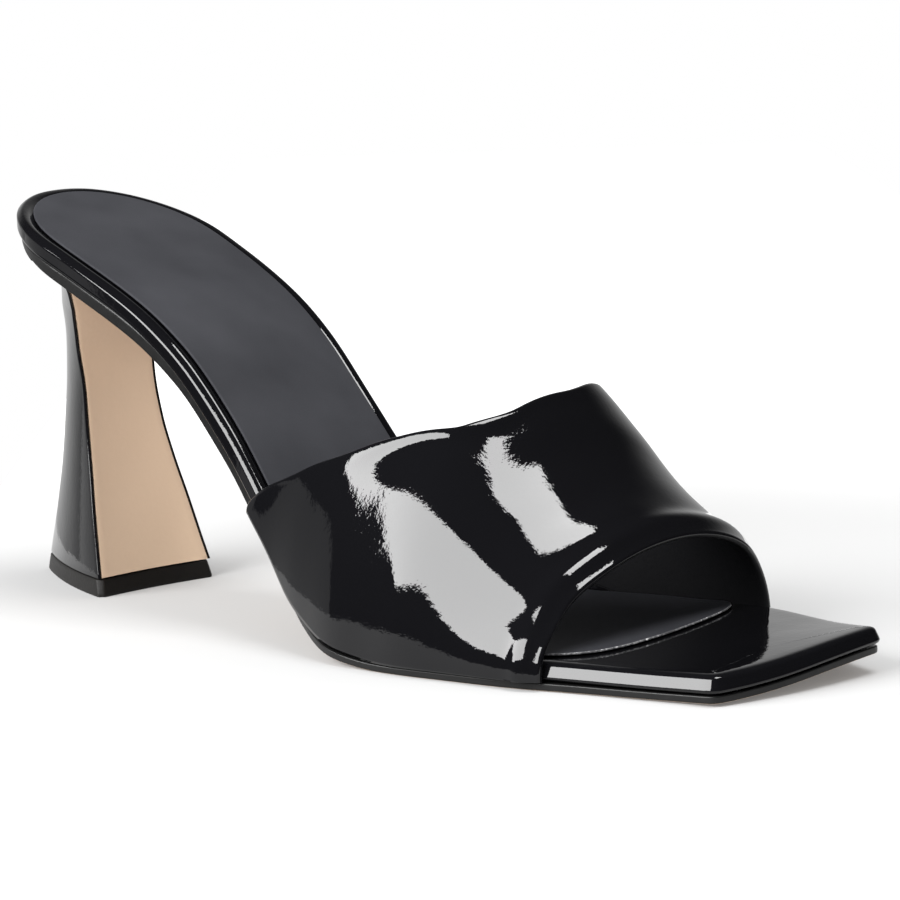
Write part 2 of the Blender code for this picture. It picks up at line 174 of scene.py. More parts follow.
def skin(name, grids, finishes, closed=()):
    """One object from grids of points (rows, columns, 3).

    Four neighbours in a grid make a face. A grid named in closed also joins its last
    column to its first. Points that coincide are merged, so that seams and poles
    close, and the faces are turned outwards.
    """
    points, faces, start = [], [], 0
    for number, grid in enumerate(grids):
        rows, columns = grid.shape[:2]
        index = start + np.arange(rows * columns).reshape(rows, columns)
        if number in closed:
            index = np.column_stack([index, index[:, :1]])
        quads = np.stack([index[:-1, :-1], index[1:, :-1], index[1:, 1:], index[:-1, 1:]], -1)
        faces.append(quads.reshape(-1, 4))
        points.append(grid.reshape(-1, 3))
        start += rows * columns
    mesh = bpy.data.meshes.new(name)
    mesh.from_pydata(np.concatenate(points) + seat_back, [], np.concatenate(faces).tolist())
    form = bmesh.new()
    form.from_mesh(mesh)
    bmesh.ops.remove_doubles(form, verts=form.verts, dist=2e-6)
    bmesh.ops.dissolve_degenerate(form, edges=form.edges, dist=1e-7)
    bmesh.ops.recalc_face_normals(form, faces=form.faces)
    form.to_mesh(mesh)
    form.free()
    for made in finishes:
        mesh.materials.append(made)
    mesh.shade_smooth()
    object_ = bpy.data.objects.new(name, mesh)
    bpy.context.scene.collection.objects.link(object_)
    return object_


away = np.array([-math.sin(CAMERA_TURN), math.cos(CAMERA_TURN), 0])
run = np.linspace(-PAPER_FRONT, PAPER_BACK, 12)[:, None, None]
side = np.linspace(-PAPER_LEFT, PAPER_RIGHT, 5)[None, :, None]
paper_grid = run * away + side * np.array(level) + np.array(STUDIO_MIDDLE) * (1, 1, 0)
paper, shader, place = finish("white_paper")
spot = place.node("ShaderNodeMapping", {"vector_type": "POINT"}, Vector=place, Location=tuple(
    -(seat_back + np.array(STUDIO_MIDDLE)) * (1, 1, 0)
))
distance = spot.node("ShaderNodeVectorMath", {"operation": "LENGTH"}, output="Value", _0=spot)
backlit = distance.node(
    "ShaderNodeMapRange", {"interpolation_type": "SMOOTHSTEP"}, Value=distance,
    From_Min=GLOW_NEAR, From_Max=GLOW_FAR, To_Min=FAINT_GLOW, To_Max=FULL_GLOW,
)
feed(shader, "Emission Color", backlit.node(
    "ShaderNodeCombineColor", Red=backlit, Green=backlit, Blue=backlit,
))
feed(shader, "Emission Strength", 1.0)
feed(shader, "Base Color", (PAPER_GREY, PAPER_GREY, PAPER_GREY, 1))
feed(shader, "Roughness", 1.0)
feed(shader, "Specular IOR Level", 0.0)
floor = skin("paper_floor", [paper_grid], [paper])


def soft_box(name, turn, rise, roll, width, height, glow):
    """A rectangular lamp that faces the shoe's middle.

    It stands LAMP_REACH off, turned round the middle, raised and rolled, in degrees.
    glow: its brightness, with white paper as 1.
    """
    lamp = bpy.data.lights.new(name, "AREA")
    lamp.shape = "RECTANGLE"
    lamp.size = width
    lamp.size_y = height
    lamp.energy = glow * width * height * math.pi
    turn, rise, roll = math.radians(turn), math.radians(rise), math.radians(roll)
    out = Vector((math.sin(turn) * math.cos(rise), -math.cos(turn) * math.cos(rise), math.sin(rise)))
    flat = Vector((math.cos(turn), math.sin(turn), 0))
    tall = out.cross(flat)
    x = flat * math.cos(roll) + tall * math.sin(roll)
    y = tall * math.cos(roll) - flat * math.sin(roll)
    made = bpy.data.objects.new(name, lamp)
    made.matrix_world = Matrix.Translation(
        Vector(seat_back) + Vector(STUDIO_MIDDLE) + out * LAMP_REACH
    ) @ Matrix((
        (x.x, y.x, out.x, 0), (x.y, y.y, out.y, 0), (x.z, y.z, out.z, 0), (0, 0, 0, 1),
    ))
    bpy.context.scene.collection.objects.link(made)


soft_box("soft_box_front", -15.3, 28.0, -76.6, 0.87, 1.56, 18.0)
soft_box("soft_box_above", 104.0, 74.2, -5.1, 0.65, 0.66, 19.0)
soft_box("grey_board_left", -72, 1, 0, 1.0, 0.75, 0.4)

# The room is white to the camera and even light to matt surfaces. To the mirror it
# is dark, but for its end behind the shoe, which fades to the sides and upwards.
world = bpy.data.worlds.new("dark_room")
world.use_nodes = True
tree = world.node_tree
room = Socket(tree, None)
ahead = room.node("ShaderNodeTexCoord", output="Generated")
toward = ahead.node(
    "ShaderNodeVectorMath", {"operation": "DOT_PRODUCT"}, output="Value", _0=ahead, _1=tuple(away)
)
climb = ahead.node("ShaderNodeSeparateXYZ", output="Z", Vector=ahead)
glow = toward.node(
    "ShaderNodeMapRange", {"interpolation_type": "SMOOTHSTEP"}, Value=toward, From_Min=0.50, From_Max=0.95,
    To_Min=0.0, To_Max=1.0,
)
low = climb.node(
    "ShaderNodeMapRange", {"interpolation_type": "SMOOTHSTEP"}, Value=climb, From_Min=0.25, From_Max=0.80,
    To_Min=1.0, To_Max=0.0,
)
seen = room.node("ShaderNodeLightPath", output="Is Camera Ray")
spread = room.node("ShaderNodeLightPath", output="Is Diffuse Ray")
mirrored = glow * low * ROOM_END + ROOM_DARK
strength = mirrored * (1 - seen - spread) + seen + spread * ROOM_FILL
tree.links.new(strength.link, tree.nodes["Background"].inputs["Strength"])
tree.nodes["Background"].inputs["Color"].default_value = (1, 1, 1, 1)
bpy.context.scene.world = world

# Insole
# A board with a steel shank, wrapped in patent leather over its rounded rim and
# over the square toe. The top rolls down towards the rim, where the leather is
# pulled tight.
LENGTH = 0.2365
HEEL_RISE = 0.0954
SEAT_WIDTH = 0.0538
SEAT_ROUND = 0.0300
WAIST_WIDTH = 0.0482
BALL_WIDTH = 0.0775
TOE_WIDTH = 0.0460
TOE_SKEW = 0.0065
TOE_BOW = 0.0022
TOE_SPRING = 0.0028
TOE_TWIST = 1.0
BOARD = 0.0040
BEAD = 0.0007            # ridge of the wrapping between the sock and the edge
BEAD_PLACE = 0.0018      # from the edge to the ridge's top
BEAD_WIDTH = 0.0012
SOLE = 0.0016
CLEAR = 0.0003
STACK = BOARD + CLEAR + SOLE
SEAT = HEEL_RISE - STACK
SWING_FROM = 0.60        # shares of LENGTH: where rows begin to swing to the toe's line,
TOE_BEGINS = 0.62        # where the wrapping's rounding begins to change to the toe's
TOE_WHOLE = 0.78         # and where it has changed
MIDDLE_BACK = 0.900      # ends of the middle line: share of SEAT_ROUND
MIDDLE_FRONT = 0.955     # and of LENGTH

PLAN = (
    # along: share of LENGTH, outer half width, inner half width
    (0.135, 0.526 * SEAT_WIDTH, 0.474 * SEAT_WIDTH),
    (0.190, 0.543 * SEAT_WIDTH, 0.440 * SEAT_WIDTH),
    (0.270, 0.614 * WAIST_WIDTH, 0.438 * WAIST_WIDTH),
    (0.380, 0.606 * WAIST_WIDTH, 0.394 * WAIST_WIDTH),
    (0.450, 0.395 * BALL_WIDTH, 0.265 * BALL_WIDTH),
    (0.510, 0.446 * BALL_WIDTH, 0.322 * BALL_WIDTH),
    (0.575, 0.484 * BALL_WIDTH, 0.395 * BALL_WIDTH),
    (0.640, 0.480 * BALL_WIDTH, 0.458 * BALL_WIDTH),
    (0.700, 0.458 * BALL_WIDTH, 0.503 * BALL_WIDTH),
    (0.765, 0.430 * BALL_WIDTH, 0.520 * BALL_WIDTH),
    (0.830, 0.387 * BALL_WIDTH, 0.484 * BALL_WIDTH),
    (0.895, 0.578 * TOE_WIDTH, 0.704 * TOE_WIDTH),
    (0.955, 0.513 * TOE_WIDTH, 0.574 * TOE_WIDTH),
    (1.000, 0.487 * TOE_WIDTH, 0.491 * TOE_WIDTH),
)
PROFILE = (
    # along: share of LENGTH, rise: share of SEAT, spring: share of TOE_SPRING
    (0.000, 1.000, 0.00),
    (0.051, 0.953, 0.00),
    (0.135, 0.872, 0.00),
    (0.254, 0.741, 0.00),
    (0.317, 0.632, 0.00),
    (0.380, 0.464, 0.00),
    (0.444, 0.260, 0.00),
    (0.507, 0.090, 0.00),
    (0.571, 0.016, 0.00),
    (0.630, 0.000, 0.00),
    (0.680, 0.000, 0.00),
    (0.730, 0.000, 0.00),
    (0.800, 0.000, 0.25),
    (0.900, 0.000, 0.45),
    (1.000, 0.000, 1.00),
)


def curve(table, column, x):
    """Smooth curve through one column of a table, level at its peaks and hollows.

    A cubic runs between two rows. Its slope at a row is the harmonic mean of the
    straight slopes on both sides, and 0 where they differ in sign.
    """
    xs = np.array([row[0] for row in table])
    ys = np.array([row[column] for row in table])
    x = np.asarray(x, dtype=float)
    gap = np.diff(xs)
    rise = np.diff(ys) / gap
    turns = rise[:-1] * rise[1:] <= 0
    total = np.where(turns, 1, rise[:-1] + rise[1:])
    inside = np.where(turns, 0, 2 * rise[:-1] * rise[1:] / total)
    lean = np.concatenate([rise[:1], inside, rise[-1:]])
    i = np.clip(np.searchsorted(xs, x) - 1, 0, len(gap) - 1)
    t = np.clip((x - xs[i]) / gap[i], 0, 1)
    ends = ys[i] * (1 + 2 * t) * (1 - t) ** 2 + ys[i + 1] * t * t * (3 - 2 * t)
    return ends + gap[i] * t * (1 - t) * (lean[i] * (1 - t) - lean[i + 1] * t)


def eased(table, column, x, reach=0.012):
    """The same curve averaged over a short stretch, so that its bends are smooth too."""
    return sum(curve(table, column, x + reach * k / 3) for k in range(-3, 4)) / 7


def half_width(x, side):
    """Half width of the footbed at x: the plan's, times a quarter ellipse that
    rounds it to nothing at the back of the seat."""
    width = eased(PLAN, 1 if side < 0 else 2, x / LENGTH)
    return width * np.sqrt(1 - np.clip(1 - x / SEAT_ROUND, 0, 1) ** 2)


def rim(x, y=0):
    """Height of the footbed: its profile, plus a toe spring that grows inwards."""
    share = x / LENGTH
    spring = TOE_SPRING * (1 + TOE_TWIST * y / np.hypot(y, TOE_WIDTH / 2))
    return STACK + SEAT * eased(PROFILE, 1, share) + spring * eased(PROFILE, 2, share)


def steepness(x):
    """How much longer the footbed is than its plan at x."""
    reach = LENGTH / 1000
    low = np.maximum(x - reach, 0)
    high = np.minimum(x + reach, LENGTH)
    return np.sqrt(1 + ((rim(high) - rim(low)) / (high - low)) ** 2)


def below(x, y, depth):
    """Height of the layer that lies at a depth under the rim, measured square to it."""
    return rim(x, y) - depth * steepness(x)


def smooth(value, low, high):
    """0 up to low, 1 from high, and three squares less two cubes in between."""
    t = np.clip((value - low) / (high - low), 0, 1)
    return t * t * (3 - 2 * t)


def toe_front(t):
    """x of the toe's front edge, from the outer corner (-1) to the inner (1): a
    straight slant less a parabola."""
    return LENGTH - TOE_SKEW * (1 - t) / 2 - TOE_BOW * t * t


def soften(ring, passes):
    """A closed ring with each point drawn to its neighbours' middle, many times."""
    for _ in range(passes):
        ring = ring / 2 + (np.roll(ring, 1, 0) + np.roll(ring, -1, 0)) / 4
    return ring


def outline(front, passes, rows=150, across=41):
    """Closed outline in plan and, for each of its points, a point of the middle line.

    It runs up the outer side, across the front and back down the inner side. Near
    the front the rows swing from square to the foot to the line of the front edge.
    """
    seat = SEAT_ROUND * (1 - np.cos(np.linspace(0, math.pi / 2, 31)))
    along = np.concatenate([seat, np.linspace(SEAT_ROUND, LENGTH, rows)[1:]])
    pull = smooth(along / LENGTH, SWING_FROM, 1)
    sides = []
    for t in (-1, 1):
        x = along - pull * (LENGTH - front(t))
        sides.append(np.column_stack([x, t * half_width(x, t)]))
    t = np.linspace(-1, 1, across)[1:-1]
    outer_end, inner_end = sides[0][-1, 1], sides[1][-1, 1]
    edge = np.column_stack([front(t), outer_end + (inner_end - outer_end) * (t + 1) / 2])
    ring = np.concatenate([sides[0], edge, sides[1][:0:-1]])
    rank = np.concatenate([
        np.arange(len(along)), np.full(len(edge), len(along) - 1), np.arange(len(along))[:0:-1],
    ])
    first = int(np.searchsorted(along, SEAT_ROUND * MIDDLE_BACK))
    last = int(np.searchsorted(along, LENGTH * MIDDLE_FRONT))
    middle = ((sides[0] + sides[1]) / 2)[np.clip(rank, first, last)]
    return soften(ring, passes), middle


def outward(ring):
    """Unit directions out of a closed ring in plan: its tangents, turned right."""
    along = np.roll(ring, -1, 0) - np.roll(ring, 1, 0)
    along /= np.linalg.norm(along, axis=1)[:, None]
    return np.column_stack([along[:, 1], -along[:, 0]])


def board(ring, middle, step, edge_depth, edge_inset, bead=0.0):
    """A plate that follows the footbed, as one grid from its middle line round its
    edge to the middle line underneath.

    Each row is the outline pushed out by step less its inset, or drawn towards the
    middle line by a share, at a depth under the rim. edge_depth, edge_inset: the
    rows of the edge, each a number or one number for each point of the outline.
    bead: height of a ridge along the edge, a bell in plan.
    """
    # The rows lie closer near the edge, where the leather rolls down.
    shares = np.concatenate([np.linspace(1, 0.3, 12), np.linspace(0.3, 0, 30)[1:-1]])
    full = np.ones((1, len(ring)))
    edge_depth = edge_depth.reshape(len(edge_depth), -1) * full
    edge_inset = edge_inset.reshape(len(edge_inset), -1) * full
    flat = np.ones((len(shares), 1))
    depth = np.concatenate([flat * edge_depth[:1], edge_depth, flat * edge_depth[-1:]])
    inward = np.concatenate([flat * edge_inset[:1], edge_inset, flat * edge_inset[-1:]])
    toward = np.concatenate([shares, np.zeros(len(edge_depth)), shares[::-1]])[:, None]
    edge = ring + outward(ring) * step[:, None]
    inner = edge[None] - outward(ring)[None] * inward[..., None]
    plan = inner * (1 - toward[..., None]) + middle[None] * toward[..., None]
    within = inward + toward * np.linalg.norm(middle - edge, axis=1)
    ridge = bead * np.exp(-((within - BEAD_PLACE) / BEAD_WIDTH) ** 2)
    middle_depth = (edge_depth[:1] + edge_depth[-1:]) / 2
    ridge = ridge * np.clip((middle_depth - depth) / (middle_depth - edge_depth[:1]), 0, 1)
    x, y = plan[..., 0], plan[..., 1]
    return np.stack([x, y, below(x, y, depth - ridge)], -1)


# The patent film is a clear mirror over black. It ripples a little, pulls in tiny
# steps where a lamp's edge lies on it, and has faint hazy patches from handling.
patent, shader, place = finish("black_patent_leather")
ripple = place.node("ShaderNodeTexNoise", Vector=place, Scale=110.0, Detail=1.0, Roughness=0.4)
orange_peel = place.node("ShaderNodeTexNoise", Vector=place, Scale=850.0, Detail=2.0, Roughness=0.6)
haze = place.node("ShaderNodeTexNoise", Vector=place, Scale=42.0, Detail=4.0, Roughness=0.55)
feed(shader, "Base Color", (0.0025, 0.0025, 0.003, 1))
feed(shader, "Roughness", 0.015 + 0.05 * haze * haze)
feed(shader, "Specular IOR Level", 0.3)
feed(shader, "Coat Weight", 0.1)
feed(shader, "Coat Roughness", 0.01)
feed(shader, "Normal", place.node(
    "ShaderNodeBump", output="Normal", Height=ripple + orange_peel * 0.30, Strength=1.0,
    Distance=0.00007,
))

EDGE = (
    # depth: share of BOARD, inset at the seat and shank, inset at the toe, metres
    (0.000, 0.0030, 0.0050),
    (0.006, 0.0014, 0.0034),
    (0.030, 0.0008, 0.0024),
    (0.080, 0.0004, 0.0017),
    (0.150, 0.0001, 0.0012),
    (0.240, 0.0000, 0.0009),
    (0.350, 0.0000, 0.0007),
    (0.520, 0.0000, 0.0004),
    (0.700, 0.0000, 0.0001),
    (0.800, 0.0001, 0.0000),
    (0.900, 0.0003, 0.0002),
    (0.970, 0.0007, 0.0006),
    (1.000, 0.0014, 0.0014),
)
ring, middle = outline(toe_front, 3)
depth = np.linspace(0, 1, 41) ** 1.5
toe = smooth(ring[:, 0] / LENGTH, TOE_BEGINS, TOE_WHOLE)
inset = curve(EDGE, 1, depth)[:, None] * (1 - toe) + curve(EDGE, 2, depth)[:, None] * toe
insole = skin(
    "insole_wrapped", [board(ring, middle, 0 * toe, BOARD * depth, inset, BEAD * (1 - toe))],
    [patent], closed=(0,),
)
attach(insole, "root")
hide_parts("insole")

# Sock
# Smooth charcoal leather, glued on the insole inside its rim. Its front edge is
# cut to a long curve, and specks of dried glue lie along it.
SOCK = 0.0006
SOCK_INSET = 0.0036
SOCK_FRONT = 0.1982
CUT_LENGTH = 0.0288      # the raw cut shows this far back from SOCK_FRONT
CUT_ROUND = 0.0003       # rounding of a cut edge
SOCK_EDGE = (
    # across: -1 outer to 1 inner, setback: share of SOCK_INSET
    (-1.00, 2.60),
    (-0.80, 0.60),
    (-0.45, 0.00),
    (0.00, 0.10),
    (0.45, 0.90),
    (0.80, 2.00),
    (1.00, 3.60),
)


def sock_front(t):
    """x of the sock's front edge, before its inset."""
    return SOCK_FRONT - SOCK_INSET * curve(SOCK_EDGE, 1, t)


def rounded_edge(rounding, top, bottom):
    """Depth and inset of a plate's edge: two quarter circles and a square wall."""
    turn = np.linspace(0, math.pi / 2, 9)
    inset, drop = rounding * (1 - np.sin(turn)), rounding * (1 - np.cos(turn))
    wall = np.linspace(top + rounding, bottom - rounding, 6)[1:-1]
    depth = np.concatenate([top + drop, wall, bottom - drop[::-1]])
    return depth, np.concatenate([inset, 0 * wall, inset[::-1]])


def face_facts(object_):
    """Middles of an object's faces, from the back of the seat, and their normals."""
    facts = []
    for name in ("center", "normal"):
        row = np.empty(3 * len(object_.data.polygons))
        object_.data.polygons.foreach_get(name, row)
        facts.append(row.reshape(-1, 3))
    return facts[0] - seat_back, facts[1]


sock_leather, shader, place = finish("charcoal_sock_leather")
pores = place.node("ShaderNodeTexVoronoi", {"feature": "DISTANCE_TO_EDGE"}, Vector=place, Scale=1500.0)
cloud = place.node("ShaderNodeTexNoise", Vector=place, Scale=38.0, Detail=3.0)
fine = place.node("ShaderNodeTexNoise", Vector=place, Scale=2600.0, Detail=2.0)
feed(shader, "Base Color", place.node(
    "ShaderNodeValToRGB",
    {"stops": ((0.30, (0.018, 0.0185, 0.0215)), (0.72, (0.0265, 0.027, 0.031)))},
    Fac=cloud,
))
feed(shader, "Roughness", 0.50 + 0.12 * cloud)
feed(shader, "Specular IOR Level", 0.10)
feed(shader, "Normal", place.node(
    "ShaderNodeBump", output="Normal", Height=pores * 0.6 + fine * 0.5, Strength=0.35,
    Distance=0.0001,
))
# The cut edge shows the raw core of the leather, with crumbs of dried glue on it.
cut_edge, shader, place = finish("raw_cut_edge")
crumbs = place.node("ShaderNodeTexNoise", Vector=place, Scale=1100.0, Detail=3.0, Roughness=0.7)
feed(shader, "Base Color", place.node(
    "ShaderNodeValToRGB",
    {"stops": ((0.42, (0.035, 0.035, 0.038)), (0.60, (0.16, 0.16, 0.165)), (0.70, (0.62, 0.62, 0.62)))},
    Fac=crumbs,
))
feed(shader, "Roughness", 0.6)
sock_ring, sock_middle = outline(sock_front, 24)
sock = skin(
    "sock_lining",
    [board(
        sock_ring, sock_middle, 0 * sock_ring[:, 0] - SOCK_INSET,
        *rounded_edge(CUT_ROUND, -CLEAR - SOCK, -CLEAR),
    )],
    [sock_leather, cut_edge], closed=(0,),
)
at, normal = face_facts(sock)
# The cut is what looks neither up nor down, along the front.
wall = (normal[:, 2] < 0.8) & (normal[:, 2] > -0.5)
cut = wall & (at[:, 0] > SOCK_FRONT - CUT_LENGTH)
sock.data.polygons.foreach_set("material_index", cut.astype(np.int32))
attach(sock, "root")
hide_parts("sock")

# Upper
# One piece of patent leather with a thin lining, lasted under at both sides. Its
# back edge and its toe edge are folded in and glued, which leaves a soft bead.
LEATHER = 0.0019
CREST = 0.0693
LEAN = 0.0122
WING_BACK = 0.0995
THROAT = 0.1610
OPENING = 0.1918
MIDDLE = OPENING - THROAT
LONG_EASE = 0.03         # reach over which the crest and the toe opening are evened
BACK_FLAT = 0.06         # share of the length over which the relief fades at the back
LINED_LEAST = 0.004      # a face is lining if it looks this far towards the foot
UPPER_COLUMNS = 241
SECTIONS = (
    # along: share of LENGTH, crest: share of CREST, power: 2 is round, lean: share
    (0.380, 0.760, 2.27, 1.00),
    (0.465, 0.888, 2.27, 1.00),
    (0.550, 0.942, 2.20, 0.84),
    (0.634, 0.920, 2.14, 0.68),
    (0.719, 0.597, 2.08, 0.52),
    (0.803, 0.376, 2.01, 0.36),
    (0.888, 0.228, 2.01, 0.36),
)
UPPER_ENDS = (
    # around: 0 at the outer edge, 1 at the inner edge, back: share of the way to
    # THROAT, front: set back from OPENING, as a share of MIDDLE
    (0.00, 0.000, 0.108),
    (0.07, 0.139, 0.111),
    (0.14, 0.305, 0.095),
    (0.22, 0.581, 0.075),
    (0.30, 0.900, 0.035),
    (0.40, 0.983, 0.010),
    (0.50, 0.991, -0.010),
    (0.60, 0.951, -0.020),
    (0.70, 0.860, 0.000),
    (0.85, 0.522, 0.075),
    (1.00, 0.160, 0.090),
)
HEM = 0.0007             # height of the bead along the toe opening
HEM_PLACE = 0.0042       # from the opening's edge to the bead's top
HEM_WIDTH = 0.0026
HEM_ROLL = 0.0003        # how far the edge itself rolls in
FOLDS = (
    # Soft troughs (below 0) and ridges: place and size as shares of the upper's
    # length u and way round v, turn in degrees, height as a share of LEATHER
    # u, v, half length, half width, turn, height
    (0.05, 0.30, 0.34, 0.09, -41, -0.28),
    (0.75, 0.42, 0.08, 0.13, -67, 0.35),
    (0.91, 0.13, 0.25, 0.055, 4, -0.50),
    (0.20, 0.54, 0.28, 0.08, 52, 0.16),
    (0.92, 0.55, 0.60, 0.085, 87, 0.14),
    (0.48, 0.04, 0.08, 0.08, 60, -0.18),
    (0.51, 0.22, 0.43, 0.12, -66, 0.15),
    (0.58, 0.14, 0.23, 0.11, 25, 0.21),
    (0.66, 0.49, 0.32, 0.10, -40, 0.10),
)


def upper_surface(u, around):
    """Outside of the upper: half superellipses over the insole's underside, with
    their crest leaning inwards. u: 0 at the back edge, 1 at the toe opening."""
    back = WING_BACK + (THROAT - WING_BACK) * eased(UPPER_ENDS, 1, around)
    front = OPENING - MIDDLE * eased(UPPER_ENDS, 2, around, LONG_EASE)
    x = back + (front - back) * u
    share = x / LENGTH
    reach = LENGTH / 1000
    sides = []
    for side in (-1, 1):
        turn = (half_width(x + reach, side) - half_width(x - reach, side)) / (2 * reach)
        sides.append(half_width(x, side) + (CLEAR + LEATHER) * np.sqrt(1 + turn ** 2))
    outer, inner = sides
    power = 2 / eased(SECTIONS, 2, share)
    swing = np.cos(math.pi * around)
    height = np.clip(np.sin(math.pi * around), 0, 1) ** power
    reach_y = np.sign(swing) * np.abs(swing) ** power
    lean = LEAN * eased(SECTIONS, 3, share) * height ** 2
    y = (inner - outer) / 2 - (inner + outer) / 2 * reach_y + lean
    z = below(x, y, BOARD) + CREST * eased(SECTIONS, 1, share, LONG_EASE) * height
    return np.stack([x, y, z], -1)


def even(grid):
    """Places from 0 to 1 that spread a grid's columns evenly along its middle row."""
    step = np.linalg.norm(np.diff(grid[len(grid) // 2], axis=0), axis=1)
    length = np.concatenate([[0], np.cumsum(step)])
    return np.interp(np.linspace(0, length[-1], len(length)), length, np.linspace(0, 1, len(length)))


def facing(grid):
    """Unit normals of a grid of points, from its two differences."""
    normal = np.cross(np.gradient(grid, axis=0), np.gradient(grid, axis=1))
    return normal / np.linalg.norm(normal, axis=2)[..., None]


def relief(u, around):
    """Height of the soft troughs and ridges: a bell across each and along each."""
    height = 0 * u
    for at_u, at_v, long, wide, turn, size in FOLDS:
        c, s = math.cos(math.radians(turn)), math.sin(math.radians(turn))
        along = (u - at_u) * c + (around - at_v) * s
        across = (around - at_v) * c - (u - at_u) * s
        height = height + size * LEATHER * np.exp(-(along / long) ** 2 - (across / wide) ** 2)
    return height * (1 - np.exp(-(u / BACK_FLAT) ** 2))


rough = np.meshgrid([0, 0.5, 1], np.linspace(0, 1, UPPER_COLUMNS), indexing="ij")
around = even(upper_surface(*rough))
# The rows lie closer near the toe opening, for its bead.
along = np.concatenate([np.linspace(0, 0.75, 70, endpoint=False), np.linspace(0.75, 1, 60)])
u, around = np.meshgrid(along, around, indexing="ij")
bare = upper_surface(u, around)
square = facing(bare)
square[:, (0, -1), 2] = 0
square /= np.linalg.norm(square, axis=2)[..., None]
step = np.linalg.norm(np.diff(bare, axis=0), axis=2)
from_edge = np.concatenate([np.cumsum(step[::-1], 0)[::-1], 0 * step[:1]])
hem = HEM * np.exp(-((from_edge - HEM_PLACE) / HEM_WIDTH) ** 2)
hem -= HEM_ROLL * np.clip(1 - from_edge / HEM_PLACE, 0, 1) ** 2
outside = bare + square * (relief(u, around) + hem)[..., None]
inside = bare - LEATHER * square
ahead = np.gradient(bare, axis=0)
ahead /= np.linalg.norm(ahead, axis=2)[..., None]
turn = np.linspace(0, math.pi, 13)[1:-1, None, None]
front_fold = (
    (outside[-1] + inside[-1]) / 2 + np.cos(turn) * (outside[-1] - inside[-1]) / 2
    + np.sin(turn) * ahead[-1] * LEATHER / 2
)
back_fold = (
    (outside[0] + inside[0]) / 2 - np.cos(turn) * (outside[0] - inside[0]) / 2
    - np.sin(turn) * ahead[0] * LEATHER / 2
)
loop = np.concatenate([outside, front_fold, inside[::-1], back_fold])
loop = loop.transpose(1, 0, 2)
ends = [
    np.stack([row, np.broadcast_to(row.mean(0), row.shape)]) for row in (loop[0], loop[-1])
]
lining, shader, place = finish("black_lining_leather")
nap = place.node("ShaderNodeTexNoise", Vector=place, Scale=1400.0, Detail=3.0)
feed(shader, "Base Color", (0.006, 0.006, 0.007, 1))
feed(shader, "Roughness", 0.45 + 0.2 * nap)
feed(shader, "Specular IOR Level", 0.15)
feed(shader, "Normal", place.node(
    "ShaderNodeBump", output="Normal", Height=nap, Strength=0.4, Distance=0.0001,
))
upper = skin("upper_vamp", [loop, *ends], [patent, lining], closed=(0, 1, 2))
at, normal = face_facts(upper)
core = np.column_stack([at[:, 0], 0 * at[:, 0], below(at[:, 0], 0, 0)])
lined = ((core - at) * (0, 1, 1) * normal).sum(1) > LINED_LEAST
upper.data.polygons.foreach_set("material_index", lined.astype(np.int32))
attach(upper, "root")
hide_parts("upper")

# Outsole
# Thin sole leather, glued under the whole foot, with its edge trimmed and painted
# black. Underneath it is bare, beige and a little uneven in colour, but over the
# heel's seat it is black, as painted shade in the seam between the sole and the heel.
SEAM_SHADE_END = 0.0200       # up to here the underside over the heel's seat is black, as painted shade in the seam between the sole and the heel
PAINT_TURN = 0.75        # it covers what leans from straight down past this cosine
SOLE_SHAPE = (
    # along: share of LENGTH, step out from the insole's edge, filler over SOLE, metres
    (0.000, -0.0009, 0.0000),
    (0.060, -0.0010, 0.0003),
    (0.120, -0.0010, 0.0012),
    (0.200, -0.0011, 0.0014),
    (0.350, -0.0020, 0.0014),
    (0.420, -0.0016, 0.0012),
    (0.460, -0.0010, 0.0008),
    (0.520, 0.0016, 0.0000),
    (0.570, 0.0026, 0.0000),
    (0.640, 0.0018, 0.0000),
    (0.780, 0.0008, 0.0000),
    (0.840, 0.0000, 0.0000),
    (1.000, -0.0006, 0.0000),
)


def sole_depth(x):
    """Depth of the sole's underside under the rim."""
    return STACK + eased(SOLE_SHAPE, 2, x / LENGTH)


sole_leather, shader, place = finish("beige_sole_leather")
fibre = place.node("ShaderNodeTexNoise", Vector=place, Scale=700.0, Detail=4.0)
patch = place.node("ShaderNodeTexNoise", Vector=place, Scale=45.0, Detail=3.0)
feed(shader, "Base Color", place.node(
    "ShaderNodeValToRGB",
    {"stops": ((0.30, (0.50, 0.35, 0.235)), (0.70, (0.62, 0.46, 0.325)))},
    Fac=patch * 0.7 + fibre * 0.3,
))
feed(shader, "Roughness", 0.42 + 0.2 * patch)
feed(shader, "Normal", place.node(
    "ShaderNodeBump", output="Normal", Height=fibre, Strength=0.4, Distance=0.0001,
))
# This black is the edge paint, and over the heel's seat painted shade in the seam between the sole and the
# heel.
edge_and_seam_shade_paint, shader, place = finish("black_edge_and_seam_shade_paint")
brush = place.node("ShaderNodeTexNoise", Vector=place, Scale=400.0, Detail=3.0)
feed(shader, "Base Color", (0.006, 0.006, 0.006, 1))
feed(shader, "Roughness", 0.22 + 0.2 * brush)
feed(shader, "Specular IOR Level", 0.25)
feed(shader, "Normal", place.node(
    "ShaderNodeBump", output="Normal", Height=brush, Strength=0.5, Distance=0.00015,
))
depth, inset = rounded_edge(CUT_ROUND, BOARD + CLEAR, STACK)
share = (depth[:, None] - BOARD - CLEAR) / SOLE
depth = BOARD + CLEAR + share * (sole_depth(ring[:, 0]) - BOARD - CLEAR)
outsole = skin(
    "outsole_leather",
    [board(ring, middle, eased(SOLE_SHAPE, 1, ring[:, 0] / LENGTH), depth, inset)],
    [sole_leather, edge_and_seam_shade_paint], closed=(0,),
)
at, normal = face_facts(outsole)
reach = 0.001
x = np.maximum(at[:, 0], reach)
climb = -(rim(x + reach) - rim(x - reach)) / (2 * reach)
down = -(climb * normal[:, 0] + normal[:, 2]) / np.hypot(climb, 1)
